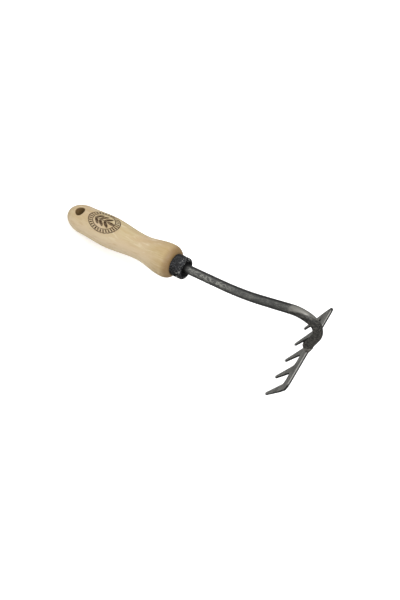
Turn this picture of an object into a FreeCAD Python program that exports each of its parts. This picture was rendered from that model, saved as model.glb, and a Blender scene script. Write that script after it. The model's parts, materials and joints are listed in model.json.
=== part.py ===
"""Hand rake: turned wooden handle, collar, forged gooseneck shank, weld bead and flat five-tine plate.

The tool is drawn along its own length first: x runs from the butt of the handle towards the head along
the handle's axis, y is across the tool, and z is up, away from the tines. It is then turned to the way it
stands on a flat surface, on its tine tips and the butt of the handle. The origin is under its middle.
All sizes are in millimetres.
"""
import FreeCAD, Part
import math
import os

Vector = FreeCAD.Vector

# Handle: a domed butt, a palm swell, a waist, a front bulge and a rounded nose
BUTT_LENGTH = 20.6
BUTT_RADIUS = 13.7
SWELL_X, SWELL_RADIUS = 52.0, 14.9
WAIST_X, WAIST_RADIUS = 95.1, 12.15
BULGE_X, BULGE_RADIUS = 118.6, 15.4
HANDLE_LENGTH = 126.7
NOSE_FACE_RADIUS = 10.3

# Tenon on the nose, inside the collar
TENON_RADIUS = 7.0
TENON_LENGTH = 8.0

# Hanging hole, drilled straight through the butt. The handle sits turned a little on its tang, and the hole
# with it.
HANG_X = 18.4
HANG_RADIUS = 4.8
HANDLE_TURN = 6.0
HANG_EDGE_ROUND = 0.8

# Collar: a thick black cup over the tenon, with a dished front
COLLAR_RADIUS = 10.0
COLLAR_LENGTH = 11.8
COLLAR_FRONT_ROUND = 1.6
COLLAR_BACK_ROUND = 0.5
DISH_RADIUS = 7.4
DISH_FLOOR_RADIUS = 5.9
DISH_DEPTH = 1.8

# Shank: one round rod from the tang inside the handle to the head
ROD_DIAMETER = 8.0
TANG_X = 81.0
TANG_CHAMFER = 1.2
BORE_PAST_TANG = 3.0
SHANK_ANGLE = 3.2
AXIS_CROSSING_X = 99.7
FIRST_BEND_X = 175.9
FIRST_BEND_RADIUS = 121.5
FIRST_BEND_ANGLE = 19.6
RISE_LENGTH = 29.7
NECK_RADIUS = 15.0
NECK_ANGLE = 103.8
DROP_BEND_RADIUS = 55.0
DROP_BEND_ANGLE = 24.7
DROP_LENGTH = 29.3
LAP_DEPTH = 2.0

# Tine plate: a flat plate with five tapered, round-tipped tines
PLATE_THICKNESS = 2.0
PLATE_ANGLE = 69.0
PLATE_WIDTH = 85.0
PLATE_CORNER_RADIUS = 7.0
PLATE_EDGE_ROUND = 0.35
BAR_DEPTH = 20.0
PLATE_HEIGHT = 83.5
TINE_COUNT = 5
TINE_PITCH = 19.35
TINE_ROOT_WIDTH = 7.6
TINE_TIP_WIDTH = 3.0
VALLEY_ROUND = 4.2

# Seat: the rod is notched, its shoulder on the plate's top edge and its lap on the plate's inner face
PLATE_OUT_FROM_ROD = 2.5
PLATE_DOWN_FROM_ROD = 0.7
NOTCH_REACH = 30.0

# Weld bead: a sleeve round the seat and a fillet on the plate's inner face, dressed off at its outer face
BEAD_RADIUS = 4.8
BEAD_ABOVE_SEAT = 3.2
BEAD_BELOW_SEAT = 2.7
BEAD_TOP_ROUND = 0.6
BEAD_END_ROUND = 1.6
BEAD_PROUD_OUTSIDE = 0.5
FILLET_ACROSS = 5.8
FILLET_DOWN = 5.4
FILLET_OUT = 3.4

# Two places closer than this are the same place
SAME_PLACE = 0.01

rod_radius = ROD_DIAMETER / 2


def handle_profile():
    """Half-section of the turned handle: dome, flowing grip, rounded nose, tenon, closed along the axis."""
    dome_centre = Vector(BUTT_LENGTH, 0, 0)
    dome_end = Vector(BUTT_LENGTH, 0, BUTT_RADIUS)
    dome = ellipse_quarter(dome_centre, Vector(0, 0, 0), dome_end)
    grip = Part.BSplineCurve()
    stations = [
        dome_end,
        Vector(SWELL_X, 0, SWELL_RADIUS),
        Vector(WAIST_X, 0, WAIST_RADIUS),
        Vector(BULGE_X, 0, BULGE_RADIUS),
    ]
    level = Vector(1, 0, 0)
    grip.interpolate(Points=stations, InitialTangent=level, FinalTangent=level)
    nose_centre = Vector(BULGE_X, 0, NOSE_FACE_RADIUS)
    nose_end = Vector(HANDLE_LENGTH, 0, NOSE_FACE_RADIUS)
    nose = ellipse_quarter(nose_centre, stations[-1], nose_end)
    tenon_end = HANDLE_LENGTH + TENON_LENGTH
    steps = Part.makePolygon([
        nose_end,
        Vector(HANDLE_LENGTH, 0, TENON_RADIUS),
        Vector(tenon_end, 0, TENON_RADIUS),
        Vector(tenon_end, 0, 0),
        Vector(0, 0, 0),
    ])
    return Part.Wire([dome, grip.toShape(), nose] + steps.Edges)


def ellipse_quarter(centre, start, end):
    """Quarter of an ellipse in the xz plane, from start to end, whose centre is square to both."""
    arm_start = start - centre
    arm_end = end - centre
    diagonal = math.sqrt(0.5)
    middle = centre + arm_start * diagonal + arm_end * diagonal
    if abs(arm_start.Length - arm_end.Length) < SAME_PLACE:
        return Part.Arc(start, middle, end).toShape()
    longer, shorter = (start, end) if arm_start.Length > arm_end.Length else (end, start)
    ellipse = Part.Ellipse(longer, shorter, centre)
    first = ellipse.parameter(start)
    last = ellipse.parameter(end)
    turn = (last - first) % (2 * math.pi)
    if turn > math.pi:
        first, last, turn = last, first, 2 * math.pi - turn
    return Part.ArcOfEllipse(ellipse, first, first + turn).toShape()


def turned(wire):
    """Solid of revolution of a half-section about the handle's axis."""
    return Part.Face(wire).revolve(Vector(0, 0, 0), Vector(1, 0, 0), 360)


def shank_start():
    """Centre of the tang's end face: the shank crosses the handle's axis at AXIS_CROSSING_X."""
    rise = math.tan(math.radians(SHANK_ANGLE))
    return Vector(TANG_X, 0, (TANG_X - AXIS_CROSSING_X) * rise)


def heading(angle):
    """Unit vector in the xz plane at an angle above +x, in degrees."""
    return Vector(math.cos(math.radians(angle)), 0, math.sin(math.radians(angle)))


def shank_path(start):
    """Centre line of the rod, with the point and heading at its seat on the plate."""
    edges = []
    point = start
    angle = SHANK_ANGLE

    def straight(length):
        nonlocal point
        end = point + heading(angle) * length
        edges.append(Part.LineSegment(point, end).toShape())
        point = end

    def bend(radius, turn):
        nonlocal point, angle
        side = 90 if turn > 0 else -90
        centre = point + heading(angle + side) * radius
        middle = centre - heading(angle + turn / 2 + side) * radius
        end = centre - heading(angle + turn + side) * radius
        edges.append(Part.Arc(point, middle, end).toShape())
        point = end
        angle += turn

    straight((FIRST_BEND_X - TANG_X) / math.cos(math.radians(SHANK_ANGLE)))
    bend(FIRST_BEND_RADIUS, FIRST_BEND_ANGLE)
    straight(RISE_LENGTH)
    bend(NECK_RADIUS, -NECK_ANGLE)
    bend(DROP_BEND_RADIUS, -DROP_BEND_ANGLE)
    straight(DROP_LENGTH)
    seat = point
    straight(LAP_DEPTH)
    return Part.Wire(edges), seat, angle


def make_shank(path, edge_point):
    """The rod, chamfered at the tang and notched for the plate at its other end."""
    start = path.Vertexes[0].Point
    section = Part.Wire(Part.makeCircle(rod_radius, start, heading(SHANK_ANGLE)))
    rod = path.makePipeShell([section], True, False)
    tang_edges = [e for e in rod.Edges if is_ring(e) and (e.CenterOfMass - start).Length < SAME_PLACE]
    rod = rod.makeChamfer(TANG_CHAMFER, tang_edges)
    return rod.cut(outside_of_plate(edge_point, 0, -PLATE_THICKNESS / 2))


def outside_of_plate(edge_point, top, depth):
    """Block outside of a depth from the plate's middle, from a height down its face."""
    reach = NOTCH_REACH
    block = Part.makeBox(2 * reach, reach - top, reach - depth, Vector(-reach, top, -reach))
    return on_plate(block, edge_point)


def is_ring(edge):
    return isinstance(edge.Curve, Part.Circle) and edge.isClosed()


def tine_centres():
    middle = (TINE_COUNT - 1) / 2
    return [(i - middle) * TINE_PITCH for i in range(TINE_COUNT)]


def plate_outline():
    """Outline of the plate, drawn flat: x is across the tool, y is down from the top edge."""
    half = PLATE_WIDTH / 2
    tip_radius = TINE_TIP_WIDTH / 2
    tip_y = PLATE_HEIGHT - tip_radius
    root_y = BAR_DEPTH + VALLEY_ROUND
    root_half = TINE_ROOT_WIDTH / 2
    centres = tine_centres()
    corner = PLATE_CORNER_RADIUS
    inset = corner * (1 - math.sqrt(0.5))
    edges = []

    def line(x1, y1, x2, y2):
        edges.append(Part.LineSegment(Vector(x1, y1, 0), Vector(x2, y2, 0)).toShape())

    def arc(x1, y1, x2, y2, x3, y3):
        edges.append(Part.Arc(Vector(x1, y1, 0), Vector(x2, y2, 0), Vector(x3, y3, 0)).toShape())

    arc(-half, corner, -half + inset, inset, -half + corner, 0)
    line(-half + corner, 0, half - corner, 0)
    arc(half - corner, 0, half - inset, inset, half, corner)
    line(half, corner, centres[-1] + root_half, root_y)
    for i, centre in reversed(list(enumerate(centres))):
        line(centre + root_half, root_y, centre + tip_radius, tip_y)
        arc(centre + tip_radius, tip_y, centre, PLATE_HEIGHT, centre - tip_radius, tip_y)
        line(centre - tip_radius, tip_y, centre - root_half, root_y)
        if i:
            valley(arc, line, centre - root_half, centres[i - 1] + root_half, root_y)
    line(centres[0] - root_half, root_y, -half, corner)
    return Part.Wire(edges)


def valley(arc, line, right, left, root_y):
    """Rounded valley between two tines, whose rounds meet the bar's lower edge."""
    bottom = root_y - VALLEY_ROUND
    inset = VALLEY_ROUND * (1 - math.sqrt(0.5))
    arc(right, root_y, right - inset, bottom + inset, right - VALLEY_ROUND, bottom)
    line(right - VALLEY_ROUND, bottom, left + VALLEY_ROUND, bottom)
    arc(left + VALLEY_ROUND, bottom, left + inset, bottom + inset, left, root_y)


def plate_axes():
    """Unit vectors across the plate, down its tines, and out of its inner face, towards the handle."""
    across = Vector(0, 1, 0)
    down = heading(180 + PLATE_ANGLE)
    return across, down, across.cross(down)


def plate_edge_point(seat):
    """Middle of the plate's top edge, outward of the rod's axis and a little below the seat."""
    _, down, inner = plate_axes()
    return seat + down * PLATE_DOWN_FROM_ROD - inner * PLATE_OUT_FROM_ROD


def make_plate(edge_point):
    """The plate, drawn flat, leaning back towards the handle."""
    flat = Part.Face(plate_outline()).extrude(Vector(0, 0, PLATE_THICKNESS))
    rims = [e for e in flat.Edges if e.BoundBox.ZLength < SAME_PLACE]
    flat = flat.makeFillet(PLATE_EDGE_ROUND, rims)
    flat.translate(Vector(0, 0, -PLATE_THICKNESS / 2))
    return on_plate(flat, edge_point)


def on_plate(flat, edge_point):
    """A shape drawn flat, with z out of the inner face, put where the plate is."""
    across, down, inner = plate_axes()
    turn = FreeCAD.Matrix(
        across.x, down.x, inner.x, edge_point.x,
        across.y, down.y, inner.y, edge_point.y,
        across.z, down.z, inner.z, edge_point.z,
        0, 0, 0, 1,
    )
    return flat.transformed(turn)


def make_bead(seat, angle, edge_point, shank, plate):
    """Bead of weld round the shank's seat, open where the shank and the plate pass through it."""
    along = heading(angle)
    start = seat - along * BEAD_ABOVE_SEAT
    end = seat + along * BEAD_BELOW_SEAT
    sleeve = Part.makeCylinder(BEAD_RADIUS, BEAD_ABOVE_SEAT + BEAD_BELOW_SEAT, start, along)
    for centre, rounding in ((start, BEAD_TOP_ROUND), (end, BEAD_END_ROUND)):
        rim = [e for e in sleeve.Edges if is_ring(e) and (e.CenterOfMass - centre).Length < SAME_PLACE]
        sleeve = sleeve.makeFillet(rounding, rim)
    stretch = FreeCAD.Matrix()
    stretch.scale(FILLET_ACROSS, FILLET_DOWN, FILLET_OUT)
    fillet = Part.makeSphere(1).transformGeometry(stretch)
    fillet = on_plate(fillet, edge_point + plate_axes()[2] * (PLATE_THICKNESS / 2))
    dressing = outside_of_plate(edge_point, -NOTCH_REACH, PLATE_THICKNESS / 2 + BEAD_PROUD_OUTSIDE)
    return sleeve.fuse(fillet).cut(dressing).cut(shank).cut(plate)


def make_collar(rod):
    """Thick cup over the tenon: a rounded front rim, and a dish that the shank comes out of."""
    back = HANDLE_LENGTH
    front = HANDLE_LENGTH + COLLAR_LENGTH
    along = Vector(1, 0, 0)
    blank = Part.makeCylinder(COLLAR_RADIUS, COLLAR_LENGTH, Vector(back, 0, 0), along)
    for end, rounding in ((front, COLLAR_FRONT_ROUND), (back, COLLAR_BACK_ROUND)):
        rim = [e for e in blank.Edges if is_ring(e) and abs(e.CenterOfMass.x - end) < SAME_PLACE]
        blank = blank.makeFillet(rounding, rim)
    dish_floor = front - DISH_DEPTH
    dish = Part.makeCone(DISH_FLOOR_RADIUS, DISH_RADIUS, DISH_DEPTH, Vector(dish_floor, 0, 0), along)
    socket = Part.makeCylinder(TENON_RADIUS, TENON_LENGTH, Vector(back, 0, 0), along)
    return blank.cut(dish).cut(socket).cut(rod)


def make_handle(start):
    """Turned grip with the hanging hole across the butt and the tang's blind bore in the nose."""
    grip = turned(handle_profile())
    turn = math.radians(HANDLE_TURN)
    hole_axis = Vector(0, math.sin(turn), math.cos(turn))
    drill_start = Vector(HANG_X, 0, 0) - hole_axis * (2 * BUTT_RADIUS)
    grip = grip.cut(Part.makeCylinder(HANG_RADIUS, 4 * BUTT_RADIUS, drill_start, hole_axis))
    mouths = [e for e in grip.Edges if is_mouth(e)]
    grip = grip.makeFillet(HANG_EDGE_ROUND, mouths)
    bore_start = start - heading(SHANK_ANGLE) * BORE_PAST_TANG
    bore = Part.makeCylinder(rod_radius, HANDLE_LENGTH, bore_start, heading(SHANK_ANGLE))
    return grip.cut(bore)


def is_mouth(edge):
    """An edge where the hanging hole meets the grip's surface."""
    centre = edge.CenterOfMass
    near_hole = abs(centre.x - HANG_X) < HANG_RADIUS and abs(centre.z) > BUTT_RADIUS / 2
    return near_hole and edge.BoundBox.XLength < 3 * HANG_RADIUS


def standing_lean(tip):
    """Angle between the handle's axis and the ground, in degrees, and a point of the ground.

    The ground line runs from the tine tips and touches the domed butt, an ellipse."""
    a = (tip.x - BUTT_LENGTH) / BUTT_LENGTH
    b = tip.z / BUTT_RADIUS
    touch = math.atan2(b, a) - math.acos(1 / math.hypot(a, b))
    touch_x = BUTT_LENGTH * (1 + math.cos(touch))
    touch_z = BUTT_RADIUS * math.sin(touch)
    return math.degrees(math.atan2(touch_z - tip.z, tip.x - touch_x))


def build():
    start = shank_start()
    path, seat, end_angle = shank_path(start)
    edge_point = plate_edge_point(seat)
    plate = make_plate(edge_point)
    shank = make_shank(path, edge_point)
    pieces = {
        "handle": make_handle(start),
        "collar": make_collar(shank),
        "shank": shank,
        "tine_plate": plate,
        "weld_bead": make_bead(seat, end_angle, edge_point, shank, plate),
    }
    _, down, inner = plate_axes()
    tip = edge_point + down * PLATE_HEIGHT + inner * (PLATE_THICKNESS / 2)
    lean = standing_lean(tip)
    for piece in pieces.values():
        piece.rotate(Vector(0, 0, 0), Vector(0, -1, 0), lean)
    box = Part.makeCompound(list(pieces.values())).optimalBoundingBox()
    shift = Vector(-(box.XMin + box.XMax) / 2, 0, -box.ZMin)
    for piece in pieces.values():
        piece.translate(shift)
    return pieces, lean, shift


def main():
    pieces, lean, shift = build()
    os.makedirs("parts", exist_ok=True)
    for name, piece in pieces.items():
        piece.exportStep(f"parts/{name}.step")
        print(name, piece.isValid(), len(piece.Solids), "solid(s)", round(piece.Volume / 1000, 2), "cm3")
    box = Part.makeCompound(list(pieces.values())).optimalBoundingBox()
    print("lean", round(lean, 3), "shift", shift, "box", box)


main()
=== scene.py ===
import json
import math

import bmesh
import bpy
from mathutils import Matrix, Vector, noise


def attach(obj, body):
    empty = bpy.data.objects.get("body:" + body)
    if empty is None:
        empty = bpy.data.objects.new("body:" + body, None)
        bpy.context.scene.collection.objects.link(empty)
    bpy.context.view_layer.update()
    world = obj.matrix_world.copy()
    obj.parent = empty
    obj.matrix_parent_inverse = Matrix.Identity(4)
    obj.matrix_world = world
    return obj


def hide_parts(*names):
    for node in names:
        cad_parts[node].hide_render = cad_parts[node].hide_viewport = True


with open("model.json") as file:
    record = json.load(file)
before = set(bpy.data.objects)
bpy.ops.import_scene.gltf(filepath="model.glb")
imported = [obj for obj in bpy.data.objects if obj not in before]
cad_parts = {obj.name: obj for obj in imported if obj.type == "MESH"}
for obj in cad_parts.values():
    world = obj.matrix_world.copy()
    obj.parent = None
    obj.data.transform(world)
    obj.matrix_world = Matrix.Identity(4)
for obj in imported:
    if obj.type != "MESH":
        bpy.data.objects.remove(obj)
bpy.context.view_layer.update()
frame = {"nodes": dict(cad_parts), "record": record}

MM = 0.001

# Camera: where it looks from, its roll, and the point in the middle of its view
CAMERA_AZIMUTH = -7.255
CAMERA_ELEVATION = 75.033
CAMERA_ROLL = -41.13
CAMERA_DISTANCE = 473.1 * MM
CAMERA_TARGET = Vector((21.1, -16.0, 67.5)) * MM
CAMERA_LENS = 33.0
CAMERA_CLIP_START = 10 * MM

# Places on the handle, in mm from its butt along its axis
HOLE_FROM_BUTT = 18.4
MARK_FROM_BUTT = 48.2

# The part's only body, which every piece rides on
HANDLE_BODY = "root"

# The tool's own axes: along the handle towards the head, across it, and up, square to both.
# The handle sits turned a little about the first of them, and its hole and mark with it.
hole = next(mount for mount in frame["record"]["mounts"] if mount["name"] == "hanging_hole")
hole_axis = Vector(hole["axis"])
tool_across = Vector((0, 1, 0))
tool_along = tool_across.cross(hole_axis).normalized()
tool_up = tool_along.cross(tool_across)
butt = Vector(hole["pos_m"]) - tool_along * HOLE_FROM_BUTT * MM
lean = math.atan2(tool_along.z, tool_along.x)
handle_turn = math.atan2(hole_axis.y, hole_axis.dot(tool_up))


def from_tool(point):
    """Row-frame place, in metres, of a point in mm in the tool's own axes."""
    return butt + (tool_along * point[0] + tool_across * point[1] + tool_up * point[2]) * MM


def to_tool(place):
    """A row-frame place as mm in the tool's own axes."""
    away = (place - butt) / MM
    return Vector((away.dot(tool_along), away.dot(tool_across), away.dot(tool_up)))


# ----------------------------------------------------------------------------------- shader helpers


class Shader:
    """A Principled material, with short calls that add its nodes."""

    def __init__(self, name, **fixed):
        self.material = bpy.data.materials.new(name)
        self.material.use_nodes = True
        self.nodes = self.material.node_tree.nodes
        self.links = self.material.node_tree.links
        self.surface = self.nodes["Principled BSDF"]
        self.set(**fixed)

    def set(self, **values):
        """Sets or links sockets of the Principled shader, named with _ for a space."""
        for name, value in values.items():
            self.put(self.surface.inputs[name.replace("_", " ")], value)

    def put(self, socket, value):
        """Links a socket to another, or gives it a plain value."""
        if isinstance(value, bpy.types.NodeSocket):
            self.links.new(value, socket)
        else:
            socket.default_value = value

    def node(self, kind, inputs, **settings):
        """Adds a shader node with its inputs, by name or number, and its settings."""
        made = self.nodes.new("ShaderNode" + kind)
        for name, value in settings.items():
            setattr(made, name, value)
        for key, value in inputs.items():
            self.put(made.inputs[key], value)
        return made

    def place(self):
        """Row-frame place in mm."""
        coordinates = self.node("TexCoord", {})
        return self.vector("SCALE", coordinates.outputs["Object"], Scale=1 / MM)

    def tool_place(self):
        """Place in mm in the tool's own axes."""
        coordinates = self.node("TexCoord", {})
        scale = 1 / MM
        offset = Matrix.Rotation(lean, 3, "Y") @ butt * -scale
        turned = {"Vector": coordinates.outputs["Object"], "Location": offset,
                  "Rotation": (0, lean, 0), "Scale": (scale, scale, scale)}
        return self.node("Mapping", turned).outputs[0]

    def handle_place(self):
        """Place in mm in the tool's own axes, turned so that up runs along the hanging hole."""
        turned = {"Vector": self.tool_place(), "Rotation": (handle_turn, 0, 0)}
        return self.node("Mapping", turned).outputs[0]

    def normal_of_face(self):
        """Row-frame normal of the surface, before any bump."""
        return self.node("TexCoord", {}).outputs["Normal"]

    def vector(self, operation, first, second=None, **inputs):
        """Vector Math node: a number for a length or a dot product, and a vector otherwise."""
        values = {0: first}
        if second is not None:
            values[1] = second
        values.update(inputs)
        made = self.node("VectorMath", values, operation=operation)
        scalar = operation in ("LENGTH", "DOT_PRODUCT")
        return made.outputs["Value" if scalar else "Vector"]

    def math(self, operation, *values):
        """Math node on one to three numbers."""
        return self.node("Math", dict(enumerate(values)), operation=operation).outputs[0]

    def noise(self, place, scale, detail=2.0, roughness=0.5, distortion=0.0):
        """Noise of one frequency every way, in cycles per mm."""
        inputs = {"Vector": place, "Scale": scale, "Detail": detail,
                  "Roughness": roughness, "Distortion": distortion}
        return self.node("TexNoise", inputs).outputs[0]

    def stretched_noise(self, place, per_mm, **options):
        """Noise with its own frequency along each axis, in cycles per mm."""
        return self.noise(self.vector("MULTIPLY", place, per_mm), 1.0, **options)

    def spread(self, value, low, high, to_low=0.0, to_high=1.0):
        """Smooth step from to_low to to_high as a value goes from low to high."""
        inputs = {0: value, 1: low, 2: high, 3: to_low, 4: to_high}
        return self.node("MapRange", inputs, interpolation_type="SMOOTHSTEP").outputs[0]

    def mix(self, factor, first, second):
        """Mix of two colours, all of the second where the factor is 1."""
        made = self.nodes.new("ShaderNodeMix")
        made.data_type = "RGBA"
        self.put(made.inputs[0], factor)
        self.put(made.inputs[6], first)
        self.put(made.inputs[7], second)
        return made.outputs[2]

    def bump(self, height, depth, normal=None):
        """Bump whose height of 1 stands depth mm proud."""
        inputs = {"Height": height, "Distance": depth * MM, "Strength": 1.0}
        if normal is not None:
            inputs["Normal"] = normal
        return self.node("Bump", inputs).outputs[0]

    def separate(self, vector):
        """The three parts of a vector."""
        return self.node("SeparateXYZ", {0: vector}).outputs

    def combine(self, x, y, z):
        """A vector of three numbers."""
        return self.node("CombineXYZ", {0: x, 1: y, 2: z}).outputs[0]

    def oval(self, flat, centre, half_size, turn=0.0):
        """Distance from an oval's middle, 1 on its outline, in a flat drawing."""
        inputs = {"Vector": flat, "Location": (*centre, 0), "Rotation": (0, 0, math.radians(turn)),
                  "Scale": (*half_size, 1)}
        return self.vector("LENGTH", self.node("Mapping", inputs, vector_type="TEXTURE").outputs[0])


def srgb(red, green, blue):
    """Linear colour of an sRGB colour given as 0 to 255."""
    def linear(value):
        share = value / 255
        return share / 12.92 if share <= 0.04045 else ((share + 0.055) / 1.055) ** 2.4
    return (linear(red), linear(green), linear(blue), 1.0)


# ------------------------------------------------------------------------------------------- handle


# Burnt mark, drawn flat in mm round the middle of its oval; each leaf has its middle and its angle
MARK_HALF_LENGTH = 17.8
MARK_HALF_WIDTH = 11.9
MARK_GRIP_RADIUS = 15.0
MARK_OFF_CENTRE = 0.8
MARK_TICKS = 30
LEAF_SIZE = (4.3, 1.5)
LEAVES = (
    ((-6.6, 2.7), 35), ((-6.6, -2.7), -35),
    ((-1.2, 3.1), 35), ((-1.2, -3.1), -35),
    ((4.2, 2.7), 35), ((4.2, -2.7), -35),
    ((8.4, 0.0), 0),
)
STEM_MIDDLE = (-1.5, 0)
STEM_SIZE = (9.6, 0.5)


def burnt_mark(shader, place):
    """Oval mark on top of the grip: two rings, a band of ticks and a sprig. 1 where it is burnt."""
    x, y, z = shader.separate(place)
    angle_round = shader.math("ARCTAN2", y, z)
    arc = shader.math("MULTIPLY_ADD", angle_round, MARK_GRIP_RADIUS, -MARK_OFF_CENTRE)
    flat = shader.combine(shader.math("SUBTRACT", x, MARK_FROM_BUTT), arc, 0.0)
    wobble = shader.math("SUBTRACT", shader.stretched_noise(place, (0.6, 0.6, 0.6)), 0.5)
    reach = shader.oval(flat, (0, 0), (MARK_HALF_LENGTH, MARK_HALF_WIDTH))
    reach = shader.math("MULTIPLY_ADD", wobble, 0.02, reach)

    def ring(middle, half_width, soft):
        off = shader.math("ABSOLUTE", shader.math("SUBTRACT", reach, middle))
        return shader.spread(off, half_width + soft, half_width)

    flat_x, flat_y, _ = shader.separate(flat)
    turn = shader.math("ARCTAN2", shader.math("DIVIDE", flat_y, MARK_HALF_WIDTH),
                       shader.math("DIVIDE", flat_x, MARK_HALF_LENGTH))
    wave = shader.math("SINE", shader.math("MULTIPLY", turn, MARK_TICKS))
    ticks = shader.math("MULTIPLY", shader.spread(wave, -0.35, 0.1), ring(0.83, 0.085, 0.03))
    burnt = shader.math("MAXIMUM", ring(0.975, 0.02, 0.02), ticks)
    burnt = shader.math("MAXIMUM", burnt, ring(0.69, 0.014, 0.03))
    for centre, angle in LEAVES:
        leaf = shader.oval(flat, centre, LEAF_SIZE, angle)
        burnt = shader.math("MAXIMUM", burnt, shader.spread(leaf, 1.1, 0.85))
    stem = shader.oval(flat, STEM_MIDDLE, STEM_SIZE)
    burnt = shader.math("MAXIMUM", burnt, shader.spread(stem, 1.25, 0.9))
    patchy = shader.stretched_noise(place, (0.35, 0.9, 0.9), detail=3.0)
    uneven = shader.spread(patchy, 0.3, 0.6, 0.62, 1.0)
    on_top = shader.spread(z, 0.0, 2.0)
    return shader.math("MULTIPLY", shader.math("MULTIPLY", burnt, uneven), on_top)


# Growth rings: pitch, sway, and the pith outside the grip, with how it is drawn out lengthwise
RING_PITCH = 3.4
RING_SWAY = 3.2
PITH = (0.0, 21.0, -46.0)
PITH_STRETCH = (0.045, 1.0, 1.0)

# Zones of the grip in mm, as the places where a tone starts and is full
PAINTED_LIGHT_ACROSS = (-2.0, -13.0)
OCHRE_END = (98.0, 121.0)
NOSE = (119.0, 125.6)
HOLE_WALL = (5.5, 4.9)
HOLE_MOUTH = (13.4, 11.5)

WOOD_YELLOW = srgb(195, 178, 139)
WOOD_PINK = srgb(195, 172, 140)
WOOD_LATE = srgb(182, 158, 115)
WOOD_FIBRE = srgb(188, 162, 121)
WOOD_FLECK = srgb(158, 126, 84)
WOOD_END_GRAIN = srgb(140, 112, 76)
WOOD_PAINTED_LIGHT_TONE = srgb(216, 197, 163)
WOOD_FIGURE_LIGHT = srgb(214, 200, 168)
WOOD_FIGURE_DARK = srgb(186, 160, 120)
WOOD_OCHRE = srgb(174, 149, 101)
WOOD_NOSE_GRAIN_AND_SHADE = srgb(128, 98, 62)
WOOD_HOLE_SHADE = srgb(104, 78, 40)
CHAR_DARK = srgb(38, 22, 9)
CHAR_LIGHT = srgb(76, 51, 24)


def wood():
    """Pale close-grained hardwood, turned, sanded and lightly oiled."""
    shader = Shader("handle_wood", IOR=1.46)
    place = shader.handle_place()
    x, y, _ = shader.separate(place)
    sway = shader.stretched_noise(place, (0.011, 0.035, 0.035), detail=1.5)
    from_pith = shader.vector("MULTIPLY", shader.vector("SUBTRACT", place, PITH), PITH_STRETCH)
    ring = shader.math("DIVIDE", shader.vector("LENGTH", from_pith), RING_PITCH)
    ring = shader.math("FRACT", shader.math("MULTIPLY_ADD", sway, RING_SWAY, ring))
    late_wood = shader.spread(ring, 0.25, 0.86)
    late_wood = shader.math("MULTIPLY", late_wood, shader.spread(ring, 1.0, 0.9))
    blush = shader.spread(shader.stretched_noise(place, (0.018, 0.07, 0.07)), 0.36, 0.66)
    fibre = shader.stretched_noise(place, (0.045, 0.9, 0.9), detail=4.0, roughness=0.65)
    fleck = shader.stretched_noise(place, (0.22, 3.2, 3.2))
    figure = shader.stretched_noise(place, (0.055, 0.3, 0.3), detail=3.0, distortion=0.5)

    colour = shader.mix(blush, WOOD_YELLOW, WOOD_PINK)
    colour = shader.mix(shader.math("MULTIPLY", late_wood, 0.42), colour, WOOD_LATE)
    colour = shader.mix(shader.spread(fibre, 0.38, 0.7, 0.0, 0.42), colour, WOOD_FIBRE)
    colour = shader.mix(shader.spread(fleck, 0.64, 0.76, 0.0, 0.5), colour, WOOD_FLECK)

    facing = shader.vector("DOT_PRODUCT", shader.normal_of_face(), tuple(tool_along))
    end_grain = shader.spread(shader.math("ABSOLUTE", facing), 0.35, 1.0)
    colour = shader.mix(shader.math("MULTIPLY", end_grain, 0.6), colour, WOOD_END_GRAIN)
    # Painted light: the grip is paler towards its -y side, standing in for light falling on that
    # side.
    colour = shader.mix(shader.spread(y, *PAINTED_LIGHT_ACROSS, 0.0, 0.6), colour, WOOD_PAINTED_LIGHT_TONE)
    colour = shader.mix(shader.spread(figure, 0.56, 0.68, 0.0, 0.5), colour, WOOD_FIGURE_LIGHT)
    colour = shader.mix(shader.spread(figure, 0.46, 0.34, 0.0, 0.5), colour, WOOD_FIGURE_DARK)
    along_fibre = shader.spread(fibre, 0.35, 0.65, 0.42, 0.8)
    ochre = shader.math("MULTIPLY", shader.spread(x, *OCHRE_END), along_fibre)
    colour = shader.mix(ochre, colour, WOOD_OCHRE)
    # The nose next to the collar is darker: partly its own end-grain tone, partly painted shade
    # where the wood meets the collar.
    colour = shader.mix(shader.spread(x, *NOSE, 0.0, 0.72), colour, WOOD_NOSE_GRAIN_AND_SHADE)

    # Painted shade: the wood darkens deeper inside the hanging hole.
    radius = shader.vector("LENGTH", shader.vector("MULTIPLY", place, (0.0, 1.0, 1.0)))
    from_hole = shader.vector("SUBTRACT", place, (HOLE_FROM_BUTT, 0.0, 0.0))
    from_hole = shader.vector("LENGTH", shader.vector("MULTIPLY", from_hole, (1.0, 1.0, 0.0)))
    in_hole = shader.spread(from_hole, *HOLE_WALL)
    deep = shader.math("MULTIPLY", in_hole, shader.spread(radius, *HOLE_MOUTH))
    colour = shader.mix(shader.math("MULTIPLY", deep, 0.72), colour, WOOD_HOLE_SHADE)

    burnt = burnt_mark(shader, place)
    char = shader.mix(shader.stretched_noise(place, (0.8, 1.2, 1.2)), CHAR_DARK, CHAR_LIGHT)
    colour = shader.mix(burnt, colour, char)

    worn = shader.stretched_noise(place, (0.03, 0.05, 0.05), detail=3.0)
    rough = shader.spread(worn, 0.3, 0.7, 0.40, 0.55)
    rough = shader.math("ADD", rough, shader.math("MULTIPLY", burnt, 0.25))
    relief = shader.math("MULTIPLY", fibre, 0.35)
    relief = shader.math("SUBTRACT", relief, shader.math("MULTIPLY", late_wood, 0.12))
    normal = shader.bump(relief, 0.05)
    normal = shader.bump(shader.math("SUBTRACT", 1.0, burnt), 0.16, normal)
    shader.set(Base_Color=colour, Roughness=rough, Normal=normal, Specular_IOR_Level=0.4)
    return shader.material


# -------------------------------------------------------------------------------------------- steel


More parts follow.
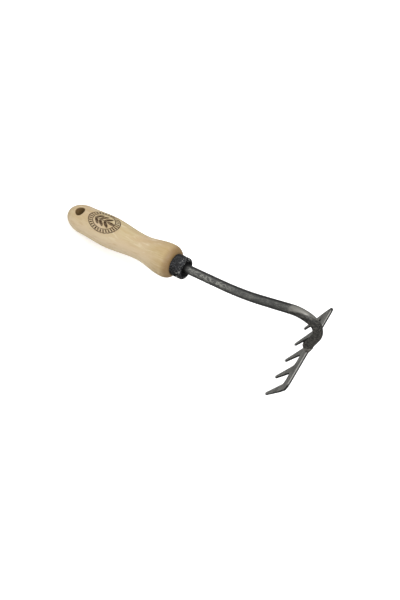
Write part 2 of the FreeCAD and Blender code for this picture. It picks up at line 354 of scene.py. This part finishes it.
# Zones of the shank in mm of the tool's own axes, as the places where each starts and is full
SHADED_ROOT_ZONE = (145.0, 139.0)
FLAKED_BACK = (138.0, 145.0)
FLAKED_FRONT = (191.0, 177.0)
LIT_WORN_BAND_OFFSET = 1.5
LIT_WORN_BAND_WIDTH = (2.9, 1.3)
NECK_START = (239.5, 245.0)
NECK_TOP = (17.5, 22.5)
HEAT_FRONT = (251.0, 256.0)
HEAT_TOP = (24.5, 16.0)
HEAT_SLANT = 4.5
HEAT_SIDE = (255.0, 261.0)
BURNT_DROP = (27.0, 17.0)
BURNT_SIDE = (2.5, -2.5)
BURNT_TOP = (17.0, 25.0)

SCALE_DARK = srgb(88, 89, 87)
SCALE_LIGHT = srgb(106, 106, 103)
SCALE_SIDE_SHADE = srgb(60, 60, 59)
SCALE_DRAWN = srgb(64, 64, 64)
SCALE_GRIT = srgb(52, 52, 51)
BARE_FLAKE = srgb(160, 160, 152)
NECK_RUBBED_AND_HIGHLIGHT = srgb(136, 134, 128)
BURNT_LOW_DOWN = srgb(50, 50, 48)
BURNT_HIGH_UP = srgb(32, 32, 31)
BURNT_FLAKE = srgb(120, 117, 110)
SHANK_ROOT_SHADE = srgb(30, 30, 30)


def forged_steel():
    """Dark forging scale, flaked near the collar, lighter on the neck with a painted highlight, and
    burnt beyond it.
    """
    shader = Shader("forged_steel", Metallic=0.45)
    place = shader.tool_place()
    x, y, z = shader.separate(place)
    cloud = shader.noise(place, 0.1, detail=4.0, roughness=0.6)
    flake = shader.stretched_noise(place, (0.42, 0.7, 0.7), detail=4.0, roughness=0.62,
                                   distortion=0.5)
    grit = shader.noise(place, 1.4, detail=3.0, roughness=0.6)
    draw = shader.stretched_noise(place, (0.05, 0.5, 0.5), detail=3.0)
    # A band along the back of the shank is both worn and lit: bare flakes show only inside it, and
    # away from it the sides take a darker tone as painted shade.
    from_back = shader.math("ABSOLUTE", shader.math("ADD", y, LIT_WORN_BAND_OFFSET))
    lit_worn_band = shader.spread(from_back, *LIT_WORN_BAND_WIDTH)
    colour = shader.mix(shader.spread(cloud, 0.4, 0.6), SCALE_DARK, SCALE_LIGHT)
    colour = shader.mix(lit_worn_band, SCALE_SIDE_SHADE, colour)
    colour = shader.mix(shader.spread(draw, 0.42, 0.62, 0.0, 0.45), colour, SCALE_DRAWN)
    flaked = shader.spread(x, *FLAKED_BACK)
    flaked = shader.math("MULTIPLY", flaked, shader.spread(x, *FLAKED_FRONT))
    amount = shader.math("MULTIPLY_ADD", flaked, 0.55, 0.25)
    bare = shader.math("MULTIPLY", shader.spread(flake, 0.49, 0.58), amount)
    colour = shader.mix(shader.math("MULTIPLY", bare, lit_worn_band), colour, BARE_FLAKE)
    colour = shader.mix(shader.spread(grit, 0.55, 0.68, 0.0, 0.6), colour, SCALE_GRIT)
    # The upper part of the neck is lighter: partly rubbed smooth metal, partly a painted highlight
    # along its crest.
    ragged = shader.math("SUBTRACT", shader.noise(place, 0.35, detail=3.0), 0.5)
    past_start = shader.spread(shader.math("MULTIPLY_ADD", ragged, 14.0, x), *NECK_START)
    neck = shader.math("MULTIPLY", past_start, shader.spread(z, *NECK_TOP))
    streak = shader.spread(draw, 0.62, 0.42, 0.5, 0.95)
    colour = shader.mix(shader.math("MULTIPLY", neck, streak), colour, NECK_RUBBED_AND_HIGHLIGHT)
    heat_front = shader.spread(shader.math("MULTIPLY_ADD", ragged, 5.0, x), *HEAT_FRONT)
    heat_top = shader.spread(shader.math("MULTIPLY_ADD", ragged, 7.0, z), *HEAT_TOP)
    heat = shader.math("MULTIPLY", heat_front, heat_top)
    slanted = shader.math("MULTIPLY_ADD", ragged, 3.0, x)
    slanted = shader.math("MULTIPLY_ADD", y, -HEAT_SLANT, slanted)
    heat = shader.math("MAXIMUM", heat, shader.spread(slanted, *HEAT_SIDE))
    mottle = shader.spread(flake, 0.45, 0.57)
    mottle = shader.math("MULTIPLY", mottle, shader.spread(z, *BURNT_DROP, 0.35, 1.0))
    mottle = shader.math("MULTIPLY", mottle, shader.spread(y, *BURNT_SIDE, 0.45, 1.0))
    burnt = shader.mix(shader.spread(z, *BURNT_TOP), BURNT_LOW_DOWN, BURNT_HIGH_UP)
    burnt = shader.mix(mottle, burnt, BURNT_FLAKE)
    colour = shader.mix(shader.math("MULTIPLY", heat, 0.9), colour, burnt)
    # Painted shade: the shank darkens where it goes into the collar's dish.
    colour = shader.mix(shader.spread(x, *SHADED_ROOT_ZONE), colour, SHANK_ROOT_SHADE)
    rough = shader.spread(flake, 0.35, 0.7, 0.5, 0.36)
    rough = shader.math("MULTIPLY_ADD", neck, 0.04, rough)
    normal = shader.bump(flake, 0.16)
    normal = shader.bump(grit, 0.06, normal)
    shader.set(Base_Color=colour, Roughness=rough, Normal=normal)
    return shader.material


# Radius, in mm, of the worn corners, and how far from the arris its painted highlight reaches
WEAR_RADIUS = 0.3
ARRIS_HIGHLIGHT_REACH = (0.8, 0.45)
INNER_SIDE = (-0.7, -0.3)

PLATE_DARK = srgb(114, 114, 110)
PLATE_LIGHT = srgb(138, 138, 133)
PLATE_PATCH = srgb(108, 107, 102)
PLATE_PIT = srgb(66, 66, 65)
PLATE_GRAIN = srgb(182, 181, 175)
PLATE_CUT = srgb(34, 34, 33)
PLATE_TOP = srgb(50, 50, 49)
PLATE_ARRIS_HIGHLIGHT = srgb(178, 177, 172)
PLATE_CORNER = srgb(196, 195, 190)


def edge_wear(shader, place):
    """Share of bare metal along sharp corners."""
    rounded = shader.node("Bevel", {"Radius": WEAR_RADIUS * MM}, samples=8).outputs[0]
    true_normal = shader.node("NewGeometry", {}).outputs["Normal"]
    edge = shader.math("SUBTRACT", 1.0, shader.vector("DOT_PRODUCT", rounded, true_normal))
    broken = shader.spread(shader.noise(place, 0.3, detail=3.0), 0.3, 0.5, 0.35, 1.0)
    return shader.math("MULTIPLY", shader.spread(edge, 0.01, 0.1), broken)


def plate_steel():
    """Dark rolled plate: granular scale on its faces, black cut edges and a painted highlight along
    its arris.
    """
    shader = Shader("plate_steel", Metallic=0.3, Specular_IOR_Level=0.35)
    place = shader.place()
    data = frame["nodes"]["tine_plate"].data
    broad_faces = [face for face in data.polygons if face.area > MM * MM]
    inner_face = min(broad_faces, key=lambda face: face.normal.x)
    inner = tuple(inner_face.normal)
    facing = shader.vector("DOT_PRODUCT", shader.normal_of_face(), inner)
    cut = shader.spread(shader.math("ABSOLUTE", facing), 0.75, 0.35)
    inner_level = inner_face.center.dot(inner_face.normal) / MM
    depth = shader.math("SUBTRACT", shader.vector("DOT_PRODUCT", place, inner), inner_level)
    at_inner = shader.spread(depth, *INNER_SIDE, 0.15, 1.0)
    upwards = tool_across.cross(inner_face.normal)
    top_level = max(vertex.co.dot(upwards) for vertex in data.vertices) / MM
    below = shader.math("SUBTRACT", shader.vector("DOT_PRODUCT", place, tuple(upwards)), top_level)
    from_arris = shader.vector("LENGTH", shader.combine(depth, below, 0.0))
    facing_up = shader.vector("DOT_PRODUCT", shader.normal_of_face(), tuple(upwards))
    on_top = shader.spread(facing_up, 0.7, 0.95)
    cloud = shader.noise(place, 0.08, detail=4.0, roughness=0.6)
    patch = shader.noise(place, 0.3, detail=5.0, roughness=0.62, distortion=0.4)
    grit = shader.noise(place, 0.95, detail=4.0, roughness=0.65)
    colour = shader.mix(shader.spread(cloud, 0.38, 0.62), PLATE_DARK, PLATE_LIGHT)
    colour = shader.mix(shader.spread(patch, 0.5, 0.62, 0.0, 0.5), colour, PLATE_PATCH)
    colour = shader.mix(shader.spread(grit, 0.52, 0.64, 0.0, 0.7), colour, PLATE_PIT)
    colour = shader.mix(shader.spread(grit, 0.46, 0.36, 0.0, 0.6), colour, PLATE_GRAIN)
    colour = shader.mix(shader.math("MULTIPLY", cut, 0.95), colour, PLATE_CUT)
    colour = shader.mix(shader.math("MULTIPLY", on_top, 0.8), colour, PLATE_TOP)
    # Painted highlight: a bright line along the arris between the inner face and the top edge.
    arris_highlight = shader.spread(from_arris, *ARRIS_HIGHLIGHT_REACH)
    arris_highlight = shader.math("MULTIPLY", arris_highlight, shader.spread(patch, 0.3, 0.5, 0.5, 0.9))
    colour = shader.mix(arris_highlight, colour, PLATE_ARRIS_HIGHLIGHT)
    worn = shader.math("MULTIPLY", edge_wear(shader, place), at_inner)
    colour = shader.mix(worn, colour, PLATE_CORNER)
    rough = shader.spread(patch, 0.35, 0.7, 0.40, 0.56)
    rough = shader.math("MULTIPLY_ADD", cut, 0.28, rough)
    normal = shader.bump(patch, 0.1)
    normal = shader.bump(grit, 0.07, normal)
    shader.set(Base_Color=colour, Roughness=rough, Normal=normal)
    return shader.material


WELD_DARKER_SIDE_RANGE = (-2.5, 0.5)

WELD_DARK = srgb(62, 61, 58)
WELD_LIGHT = srgb(126, 123, 116)
WELD_DARKER_SIDE = srgb(30, 30, 29)
WELD_PIT = srgb(26, 26, 26)


def weld_steel():
    """Dark weld bead, blotched, darker on its +Y side and finely pitted."""
    shader = Shader("weld_steel", Metallic=0.3)
    place = shader.place()
    blotch = shader.noise(place, 0.42, detail=4.0, roughness=0.65)
    grit = shader.noise(place, 1.5, detail=3.0)
    colour = shader.mix(shader.spread(blotch, 0.42, 0.6), WELD_DARK, WELD_LIGHT)
    # The bead is darker on its +Y side.
    darker_side = shader.spread(shader.separate(place)[1], *WELD_DARKER_SIDE_RANGE)
    colour = shader.mix(shader.math("MULTIPLY", darker_side, 0.75), colour, WELD_DARKER_SIDE)
    colour = shader.mix(shader.spread(grit, 0.55, 0.66, 0.0, 0.8), colour, WELD_PIT)
    normal = shader.bump(blotch, 0.2)
    normal = shader.bump(grit, 0.08, normal)
    rough = shader.spread(blotch, 0.3, 0.7, 0.42, 0.6)
    shader.set(Base_Color=colour, Roughness=rough, Normal=normal)
    return shader.material


# ------------------------------------------------------------------------------------------- collar


# Section of the collar, in mm
DISH_RADIUS = 7.4
DISH_FLOOR_RADIUS = 5.9
DISH_DEPTH = 1.8
FRONT_ROUND = 1.6
BACK_ROUND = 0.5

# Its mesh, and how deep its cast lumps are and how big the coarse and fine ones
COLLAR_SEGMENTS = 180
COLLAR_STEP = 0.22
COLLAR_LUMPS = (0.16, 1.7, 0.6)

# Zones along the collar, in mm from the butt
CHIPPED_RIM = (132.0, 137.6)
DISH_START = (135.0, 136.0)

COAT_DARK = srgb(14, 14, 15)
COAT_LIGHT = srgb(30, 31, 34)
COAT_GRAIN = srgb(82, 83, 86)
COAT_CHIP = srgb(158, 158, 154)
COAT_DISH_SHADE = srgb(22, 22, 23)


def black_coat():
    """Rough black coating, chipped to bare metal in small specks near the front rim, with painted
    shade in its dish.
    """
    shader = Shader("collar_black", Specular_IOR_Level=0.3)
    place = shader.tool_place()
    blotch = shader.noise(place, 0.35, detail=3.0)
    grain = shader.noise(place, 0.85, detail=4.0, roughness=0.62)
    chip = shader.noise(place, 0.75, detail=2.0)
    colour = shader.mix(shader.spread(blotch, 0.35, 0.65), COAT_DARK, COAT_LIGHT)
    colour = shader.mix(shader.spread(grain, 0.52, 0.64), colour, COAT_GRAIN)
    along = shader.separate(place)[0]
    near_rim = shader.spread(along, *CHIPPED_RIM, 0.1, 1.0)
    chipped = shader.math("MULTIPLY", shader.spread(chip, 0.6, 0.66), near_rim)
    colour = shader.mix(chipped, colour, COAT_CHIP)
    rough = shader.spread(grain, 0.3, 0.7, 0.36, 0.6)
    normal = shader.bump(grain, 0.3)
    # Painted shade: the coat is darker inside the front dish.
    radius = shader.vector("LENGTH", shader.vector("MULTIPLY", place, (0.0, 1.0, 1.0)))
    dish_shade = shader.spread(radius, DISH_RADIUS + 0.1, DISH_RADIUS - 0.4)
    dish_shade = shader.math("MULTIPLY", dish_shade, shader.spread(along, *DISH_START))
    colour = shader.mix(dish_shade, colour, COAT_DISH_SHADE)
    shader.set(Base_Color=colour, Roughness=rough, Normal=normal)
    return shader.material


def stepped_path(points, step):
    """Points about a step apart along straight runs between the given ones."""
    path = [points[0]]
    for start, end in zip(points, points[1:]):
        count = max(1, round((end - start).length / step))
        path += [start.lerp(end, i / count) for i in range(1, count + 1)]
    return path


def arc_points(centre, radius, first, last, count=8):
    """Points of an arc in the half-section, from one angle to another in degrees."""
    turns = [math.radians(first + (last - first) * i / count) for i in range(count + 1)]
    return [centre + Vector((math.cos(turn), math.sin(turn))) * radius for turn in turns]


def collar_profile(back, front, radius):
    """Half-section of the collar, as (place along, radius), from its back to the dish floor."""
    lip = (radius - DISH_RADIUS) / 2
    corners = [Vector((back, 0.5)), Vector((back, radius - BACK_ROUND))]
    corners += arc_points(Vector((back + BACK_ROUND, radius - BACK_ROUND)), BACK_ROUND, 180, 90, 4)
    corners += arc_points(Vector((front - FRONT_ROUND, radius - FRONT_ROUND)), FRONT_ROUND, 90, 0)
    corners += arc_points(Vector((front - lip / 2, DISH_RADIUS + lip / 3)), lip / 3, 0, -90, 4)
    corners += [Vector((front - DISH_DEPTH, DISH_FLOOR_RADIUS)), Vector((front - DISH_DEPTH, 0.5))]
    return stepped_path(corners, COLLAR_STEP)


def make_collar():
    """The collar with its rough cast skin, in place of the plain CAD one."""
    places = [to_tool(vertex.co) for vertex in frame["nodes"]["collar"].data.vertices]
    back = min(place.x for place in places)
    front = max(place.x for place in places)
    radius = max(math.hypot(place.y, place.z) for place in places)
    profile = collar_profile(back, front, radius)
    mesh = bmesh.new()
    rings = []
    for along, out in profile:
        ring = []
        for i in range(COLLAR_SEGMENTS):
            turn = 2 * math.pi * i / COLLAR_SEGMENTS
            point = (along, out * math.cos(turn), out * math.sin(turn))
            ring.append(mesh.verts.new(from_tool(point)))
        rings.append(ring)
    for ring, following in zip(rings, rings[1:]):
        for i in range(COLLAR_SEGMENTS):
            j = (i + 1) % COLLAR_SEGMENTS
            mesh.faces.new((ring[i], ring[j], following[j], following[i]))
    mesh.faces.new(reversed(rings[0]))
    mesh.faces.new(rings[-1])
    bmesh.ops.recalc_face_normals(mesh, faces=mesh.faces)
    mesh.normal_update()
    roughen(mesh, *COLLAR_LUMPS)
    return finish_piece(mesh, "collar_cast", "collar", black_coat())


# ------------------------------------------------------------------------------------- mesh helpers


def roughen(mesh, depth, coarse, fine):
    """Moves a mesh's points in and out by up to depth mm, in lumps of coarse and fine mm."""
    moves = []
    for vertex in mesh.verts:
        place = vertex.co / MM
        lump = noise.noise(place / coarse) + 0.5 * noise.noise(place / fine)
        moves.append(vertex.normal * lump * depth * MM)
    for vertex, move in zip(mesh.verts, moves):
        vertex.co += move


def finish_piece(mesh, name, node, material):
    """Makes an object of a bmesh, in place of a CAD node."""
    data = bpy.data.meshes.new(name)
    mesh.to_mesh(data)
    mesh.free()
    data.polygons.foreach_set("use_smooth", [True] * len(data.polygons))
    data.materials.append(material)
    piece = bpy.data.objects.new(name, data)
    bpy.context.scene.collection.objects.link(piece)
    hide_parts(node)
    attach(piece, HANDLE_BODY)
    return piece


# Weld bead: voxel in mm, smoothing rounds, and the depth and the coarse and fine size of its lumps
BEAD_VOXEL = 0.22
BEAD_SMOOTHING = 6
BEAD_LUMPS = (0.38, 2.3, 0.9)


def make_weld():
    """The weld bead with its lumps, worked from the plain CAD one."""
    data = frame["nodes"]["weld_bead"].data.copy()
    solid = bpy.data.objects.new("weld_blank", data)
    bpy.context.scene.collection.objects.link(solid)
    remesh = solid.modifiers.new("voxels", "REMESH")
    remesh.mode = "VOXEL"
    remesh.voxel_size = BEAD_VOXEL * MM
    soften = solid.modifiers.new("soften", "SMOOTH")
    soften.iterations = BEAD_SMOOTHING
    graph = bpy.context.evaluated_depsgraph_get()
    mesh = bmesh.new()
    mesh.from_mesh(bpy.data.meshes.new_from_object(solid.evaluated_get(graph)))
    bpy.data.objects.remove(solid)
    mesh.normal_update()
    roughen(mesh, *BEAD_LUMPS)
    return finish_piece(mesh, "weld_lumps", "weld_bead", weld_steel())


# -------------------------------------------------------------------------------------------- stage


# Floor in metres, the key light in metres and watts, and the dome's tone from low to high
FLOOR_RADIUS = 3.0
FLOOR_SEGMENTS = 96
FLOOR_COLOUR = (0.9, 0.9, 0.9, 1.0)
FLOOR_GLOW = 0.48
KEY_PLACE = (0.2, 0.12, 1.2)
KEY_SIZE = 0.6
KEY_POWER = 7.0
SKY_TOP = (-0.3, 0.0, 0.95)
SKY_RANGE = (-0.1, 0.75)
SKY_STRENGTH = (0.04, 0.95)


def make_floor():
    """Plain pale floor, which glows a little so that shadows stay faint."""
    mesh = bmesh.new()
    bmesh.ops.create_circle(mesh, cap_ends=True, segments=FLOOR_SEGMENTS, radius=FLOOR_RADIUS)
    data = bpy.data.meshes.new("floor")
    mesh.to_mesh(data)
    mesh.free()
    floor = bpy.data.objects.new("floor", data)
    bpy.context.scene.collection.objects.link(floor)
    white = Shader("floor_white", Base_Color=FLOOR_COLOUR, Roughness=0.9, Specular_IOR_Level=0.0,
                   Emission_Color=FLOOR_COLOUR, Emission_Strength=FLOOR_GLOW)
    data.materials.append(white.material)
    floor.visible_glossy = False


def add_light(name, place, size, power):
    """Square soft light that looks at the middle of the tool."""
    light = bpy.data.lights.new(name, "AREA")
    light.size = size
    light.energy = power
    lamp = bpy.data.objects.new(name, light)
    bpy.context.scene.collection.objects.link(lamp)
    lamp.location = place
    aim = (CAMERA_TARGET - Vector(place)).to_track_quat("-Z", "Y")
    lamp.rotation_euler = aim.to_euler()


def make_lights():
    """One soft key light, and a dome, white to the camera and dimmer low down to the tool."""
    add_light("key", KEY_PLACE, KEY_SIZE, KEY_POWER)
    world = bpy.data.worlds.new("studio")
    world.use_nodes = True
    nodes = world.node_tree.nodes
    links = world.node_tree.links
    height = nodes.new("ShaderNodeVectorMath")
    height.operation = "DOT_PRODUCT"
    height.inputs[1].default_value = SKY_TOP
    links.new(nodes.new("ShaderNodeTexCoord").outputs["Generated"], height.inputs[0])
    dome = nodes.new("ShaderNodeMapRange")
    dome.interpolation_type = "SMOOTHSTEP"
    limits = ("From Min", "From Max", "To Min", "To Max")
    for socket, value in zip(limits, SKY_RANGE + SKY_STRENGTH):
        dome.inputs[socket].default_value = value
    links.new(height.outputs["Value"], dome.inputs["Value"])
    backdrop = nodes.new("ShaderNodeMath")
    backdrop.operation = "MAXIMUM"
    links.new(dome.outputs[0], backdrop.inputs[0])
    links.new(nodes.new("ShaderNodeLightPath").outputs["Is Camera Ray"], backdrop.inputs[1])
    links.new(backdrop.outputs[0], nodes["Background"].inputs["Strength"])
    nodes["Background"].inputs["Color"].default_value = (1.0, 1.0, 1.0, 1.0)
    bpy.context.scene.world = world
    bpy.context.scene.view_settings.view_transform = "Standard"


def make_camera():
    """Camera at the photograph's viewing angle."""
    azimuth = math.radians(CAMERA_AZIMUTH)
    elevation = math.radians(CAMERA_ELEVATION)
    roll = math.radians(CAMERA_ROLL)
    level = math.cos(elevation)
    back = Vector((math.sin(azimuth) * level, -math.cos(azimuth) * level, math.sin(elevation)))
    level_right = Vector((0, 0, 1)).cross(back).normalized()
    level_up = back.cross(level_right)
    up = level_up * math.cos(roll) + level_right * math.sin(roll)
    right = up.cross(back)
    camera = bpy.data.objects.new("camera", bpy.data.cameras.new("camera"))
    bpy.context.scene.collection.objects.link(camera)
    turn = Matrix((right, up, back)).transposed().to_4x4()
    camera.matrix_world = Matrix.Translation(CAMERA_TARGET + back * CAMERA_DISTANCE) @ turn
    camera.data.lens = CAMERA_LENS
    camera.data.clip_start = CAMERA_CLIP_START
    bpy.context.scene.camera = camera


def dress(node, material):
    """Gives a CAD node its material."""
    data = frame["nodes"][node].data
    data.materials.clear()
    data.materials.append(material)
    data.polygons.foreach_set("material_index", [0] * len(data.polygons))


make_camera()
make_lights()
make_floor()
dress("handle", wood())
dress("shank", forged_steel())
dress("tine_plate", plate_steel())
make_collar()
make_weld()
